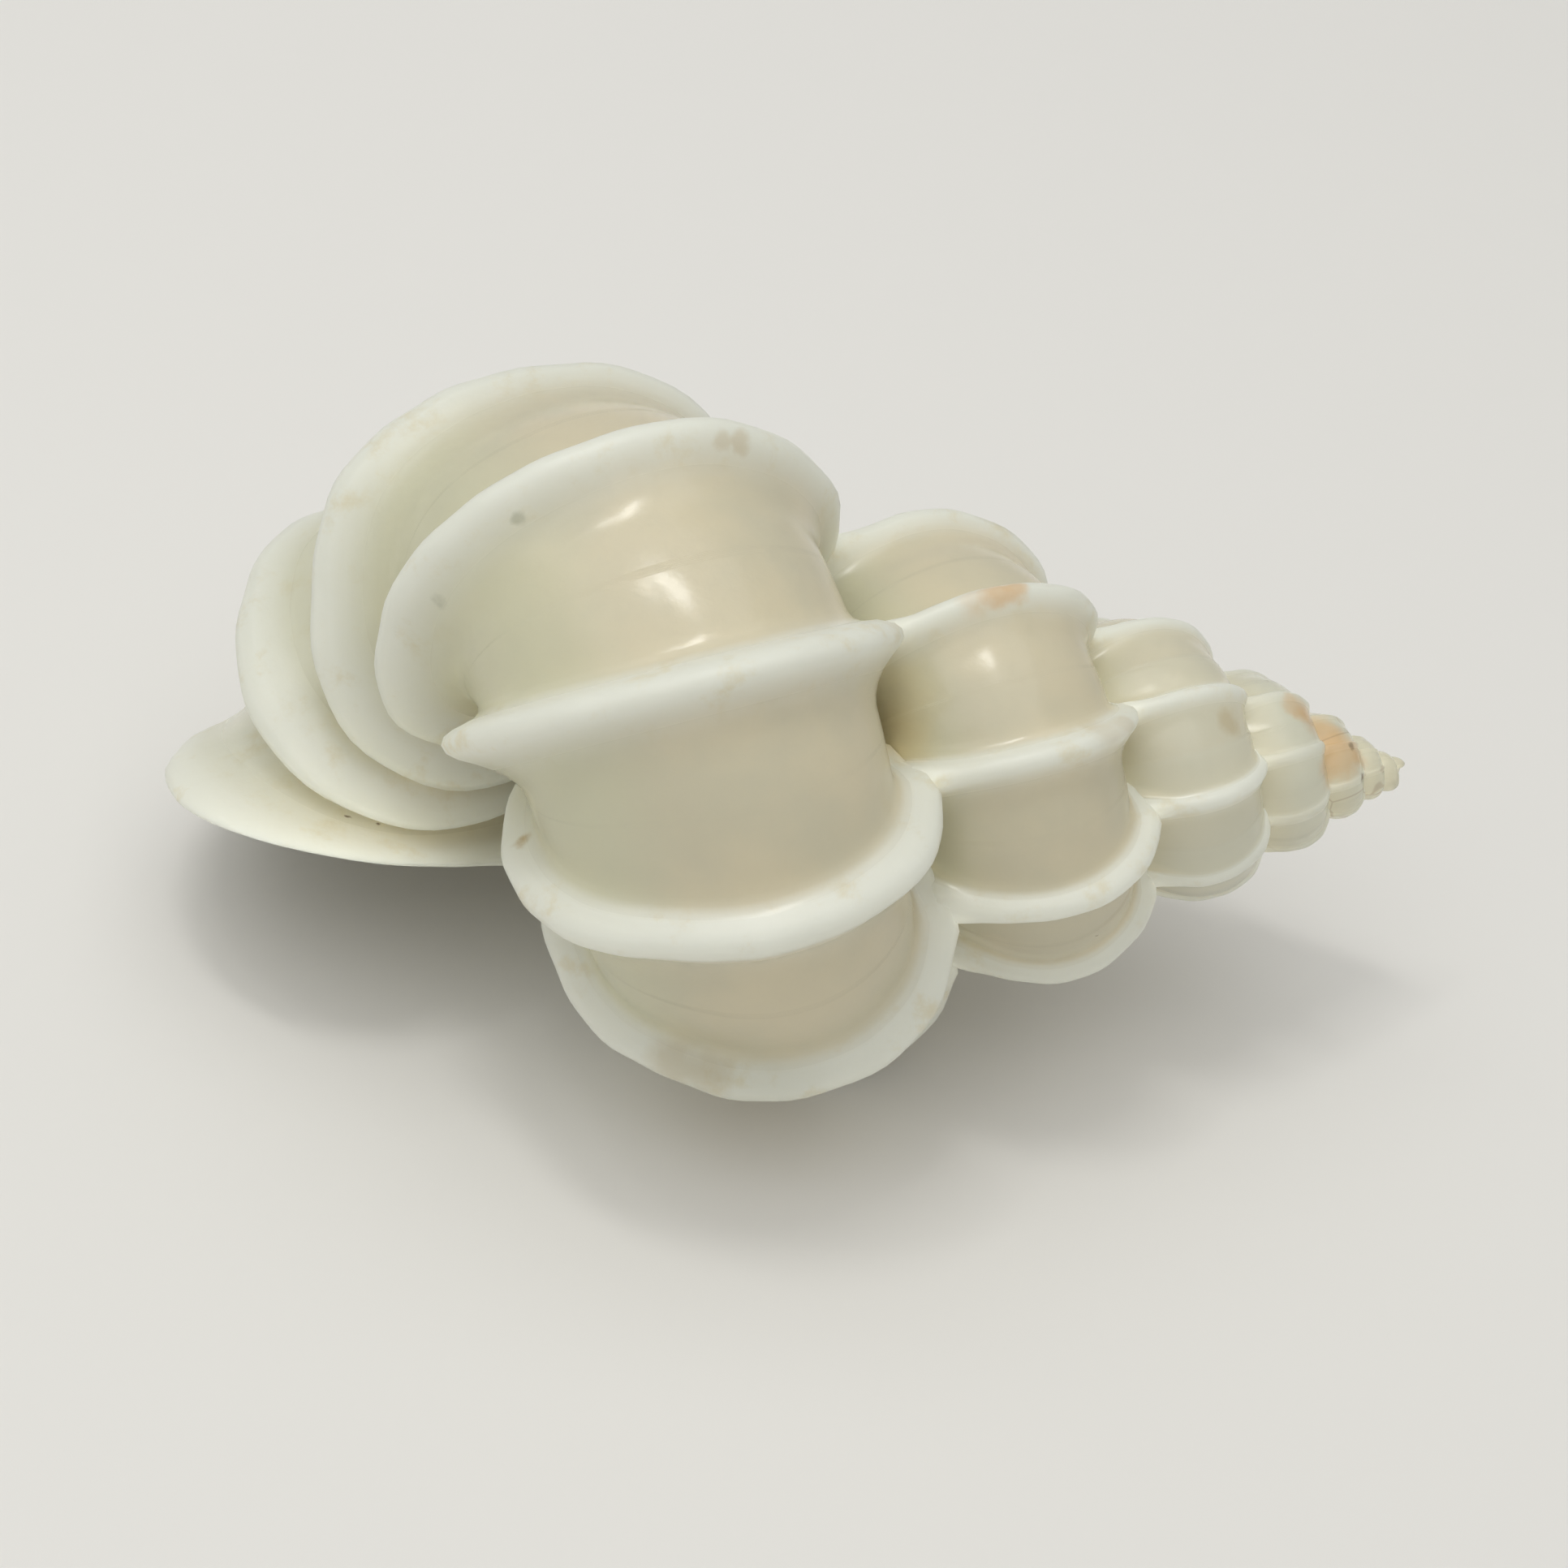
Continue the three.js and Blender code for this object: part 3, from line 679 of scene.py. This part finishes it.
def shell_colour(tree, finish, place, attributes):
    """Colour of the shell: clouded beige glaze, ivory ribs with worn patches, stains, fine cracks, painted
    light and shade.
    """
    clouds = add_node(tree, "ShaderNodeTexNoise", {
        "Vector": place, "Scale": 1 / finish.cloud_size, "Detail": 3.0, "Roughness": 0.5,
    }).outputs["Fac"]
    tube = paint(tree, srgb(finish.tube_colour), srgb(finish.tube_grey), clouds, (0.35, 0.65), (0.0, 1.0))
    tube = add_node(tree, "ShaderNodeMix", {
        0: attributes["base_side"], 6: tube, 7: srgb(finish.base_colour),
    }, data_type="RGBA").outputs[2]
    tube = paint(tree, tube, srgb(finish.old_colour), attributes["coil"], OLD_RIBS, (OLD_STRENGTH, 0.0))
    # Tan tint where whorls meet: partly the glaze's own tint, partly painted light that lifts the shade in
    # the groove
    tube = paint(tree, tube, srgb(finish.suture_tint_and_painted_light), attributes["gap"],
                 (0.2 * MM, 1.8 * MM), (SUTURE_TINT_AND_LIGHT_STRENGTH, 0.0))
    worn = add_node(tree, "ShaderNodeTexNoise", {
        "Vector": place, "Scale": 1 / finish.worn_size, "Detail": 5.0, "Roughness": 0.65,
    }).outputs["Fac"]
    rib = paint(tree, srgb(finish.rib_colour), srgb(finish.worn_colour), worn, (0.52, 0.75), (0.0, 0.6))
    colour = add_node(tree, "ShaderNodeMix", {0: attributes["ivory"], 6: tube, 7: rib},
                      data_type="RGBA").outputs[2]
    colour = paint_stains_and_painted_light(tree, place, colour, finish.ragged_size)
    # Cracks are the edges of random cells, and the distance to an edge is a share of a cell's size
    cells = add_node(tree, "ShaderNodeTexVoronoi", {"Vector": place, "Scale": 1 / finish.crack_distance},
                     feature="DISTANCE_TO_EDGE").outputs["Distance"]
    return paint(tree, colour, srgb(finish.crack_colour), cells, (0.004, 0.02), (attributes["cracked"], 0.0))


def shell_bump(tree, finish, place, coil):
    """Growth lines half way between ribs, where the coil attribute runs on, and an uneven glaze."""
    lines = add_node(tree, "ShaderNodeTexNoise", {"W": coil, "Scale": 16.0, "Detail": 2.0},
                     noise_dimensions="1D").outputs["Fac"]
    grain = add_node(tree, "ShaderNodeTexNoise", {
        "Vector": place, "Scale": 1 / finish.grain_size, "Detail": 4.0, "Roughness": 0.6,
    }).outputs["Fac"]
    height = add_node(tree, "ShaderNodeMath", {0: lines, 1: grain}, operation="ADD").outputs[0]
    return add_node(tree, "ShaderNodeBump", {
        "Height": height, "Strength": 0.3, "Distance": finish.relief,
    }).outputs["Normal"]


def shell_material(finish):
    """Aragonite, grown in thin layers: a glossy beige glaze on the tube, and satin ivory on the ribs.

    Light goes a few millimetres into it, which softens the shadows and makes thin ribs glow a little.
    """
    material = bpy.data.materials.new("shell_aragonite")
    material.use_nodes = True
    tree = material.node_tree
    shader = tree.nodes["Principled BSDF"]
    place = add_node(tree, "ShaderNodeTexCoord").outputs["Object"]
    attributes = {name: add_node(tree, "ShaderNodeAttribute", attribute_name=name).outputs["Fac"]
                  for name in ("rise", "ivory", "base_side", "coil", "gap", "cracked")}
    tree.links.new(shell_colour(tree, finish, place, attributes), shader.inputs["Base Color"])
    tree.links.new(shell_bump(tree, finish, place, attributes["coil"]), shader.inputs["Normal"])
    roughness = add_node(tree, "ShaderNodeMapRange", {
        "Value": attributes["rise"], "From Min": 0.1, "From Max": 0.8, "To Min": 0.2, "To Max": 0.42,
    }, interpolation_type="SMOOTHSTEP").outputs["Result"]
    tree.links.new(roughness, shader.inputs["Roughness"])
    shader.subsurface_method = "BURLEY"
    shader.inputs["Subsurface Weight"].default_value = 0.85
    shader.inputs["Subsurface Radius"].default_value = (1.0, 0.92, 0.78)
    shader.inputs["Subsurface Scale"].default_value = finish.light_reach
    shader.inputs["IOR"].default_value = 1.53
    return material


def floor_material(floor_colour):
    """Matte pale paper floor with a faint unevenness."""
    material = bpy.data.materials.new("studio_floor")
    material.use_nodes = True
    tree = material.node_tree
    shader = tree.nodes["Principled BSDF"]
    place = add_node(tree, "ShaderNodeTexCoord").outputs["Object"]
    grain = add_node(tree, "ShaderNodeTexNoise", {"Vector": place, "Scale": 1 / (3 * MM)}).outputs["Fac"]
    roughness = add_node(tree, "ShaderNodeMapRange", {
        "Value": grain, "From Min": 0.3, "From Max": 0.7, "To Min": 0.75, "To Max": 0.85,
    }, interpolation_type="SMOOTHSTEP").outputs["Result"]
    shader.inputs["Base Color"].default_value = srgb(floor_colour)
    tree.links.new(roughness, shader.inputs["Roughness"])
    return material


def view_turn(studio):
    """Turn of the camera: it looks from an azimuth and elevation at the aim, and rolls about its view."""
    level = Euler((math.pi / 2 - studio.elevation, 0.0, studio.azimuth), "XYZ").to_matrix()
    return level @ Matrix.Rotation(studio.roll, 3, "Z")


def link_object(name, data):
    """Put a new object in the scene."""
    thing = bpy.data.objects.new(name, data)
    bpy.context.scene.collection.objects.link(thing)
    return thing


def add_area_light(turn, aim, name, offset, side, size, energy):
    """Area light facing the aim. Its offset and the way its long side runs are in the camera's own axes."""
    light = bpy.data.lights.new(name, "AREA")
    light.shape = "RECTANGLE"
    light.size, light.size_y = size
    light.energy = energy
    light.color = LIGHT_COLOUR
    thing = link_object(name, light)
    place = Vector(aim) + turn @ Vector(offset)
    thing.location = place
    backwards = (place - Vector(aim)).normalized()
    across = backwards.cross(turn @ Vector(side)).normalized()
    thing.rotation_euler = Matrix((across.cross(backwards), across, backwards)).transposed().to_euler()


def add_floor(floor_colour):
    """Flat pale floor."""
    half = FLOOR_HALF
    mesh = bpy.data.meshes.new("studio_floor")
    mesh.from_pydata([(-half, -half, 0.0), (half, -half, 0.0), (half, half, 0.0), (-half, half, 0.0)], [],
                     [(0, 1, 2, 3)])
    mesh.materials.append(floor_material(floor_colour))
    link_object("studio_floor", mesh)


def add_room_light(scene):
    """Even pale light from all round, and plain colours without a film look."""
    scene.view_settings.view_transform = "Standard"
    world = bpy.data.worlds.new("studio_world")
    world.use_nodes = True
    background = world.node_tree.nodes["Background"]
    background.inputs["Color"].default_value = srgb(ROOM_COLOUR)
    background.inputs["Strength"].default_value = ROOM_STRENGTH
    scene.world = world


def add_camera(studio, turn):
    """Camera at its distance from the aim, looking at it."""
    camera_data = bpy.data.cameras.new("camera")
    camera_data.lens = studio.lens
    camera_data.sensor_width = SENSOR_WIDTH
    camera_data.clip_start = 10 * MM
    camera = link_object("camera", camera_data)
    camera.location = Vector(studio.aim) + turn @ Vector((0.0, 0.0, studio.distance))
    camera.rotation_euler = turn.to_euler()
    return camera


class SHELL_OT_build(Operator):
    """Build the fine shell surface with its finish"""

    bl_idname = "shell.build"
    bl_label = "Build shell"

    def execute(self, context):
        scene = context.scene
        piece = link_object("shell_surface", make_shell(scene.shell_shape))
        piece.data.materials.append(shell_material(scene.shell_finish))
        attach(piece, "root")
        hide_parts("shell")
        return {"FINISHED"}


class SHELL_OT_stage(Operator):
    """Build the floor, the lights and the camera"""

    bl_idname = "shell.stage"
    bl_label = "Build studio"

    def execute(self, context):
        scene = context.scene
        studio = scene.shell_studio
        turn = view_turn(studio)
        add_floor(studio.floor_colour)
        add_room_light(scene)
        for light in LIGHTS:
            add_area_light(turn, studio.aim, *light)
        scene.camera = add_camera(studio, turn)
        return {"FINISHED"}


class SHELL_PT_panel(Panel):
    """Sidebar panel with the settings and one button for each step"""

    bl_label = "Wentletrap shell"
    bl_idname = "SHELL_PT_panel"
    bl_space_type = "VIEW_3D"
    bl_region_type = "UI"
    bl_category = "Shell"

    def draw(self, context):
        layout = self.layout
        scene = context.scene
        for operator, settings in (("shell.build", scene.shell_shape), ("shell.stage", scene.shell_studio)):
            layout.operator(operator)
            for name in settings.__annotations__:
                layout.prop(settings, name)
        for name in scene.shell_finish.__annotations__:
            layout.prop(scene.shell_finish, name)


CLASSES = (ShellShape, ShellFinish, StudioSettings, SHELL_OT_build, SHELL_OT_stage, SHELL_PT_panel)


def register():
    for cls in CLASSES:
        bpy.utils.register_class(cls)
    bpy.types.Scene.shell_shape = PointerProperty(type=ShellShape)
    bpy.types.Scene.shell_finish = PointerProperty(type=ShellFinish)
    bpy.types.Scene.shell_studio = PointerProperty(type=StudioSettings)


def unregister():
    del bpy.types.Scene.shell_studio
    del bpy.types.Scene.shell_finish
    del bpy.types.Scene.shell_shape
    for cls in reversed(CLASSES):
        bpy.utils.unregister_class(cls)


def main():
    register()
    bpy.ops.shell.build()
    bpy.ops.shell.stage()


if __name__ == "__main__":
    main()
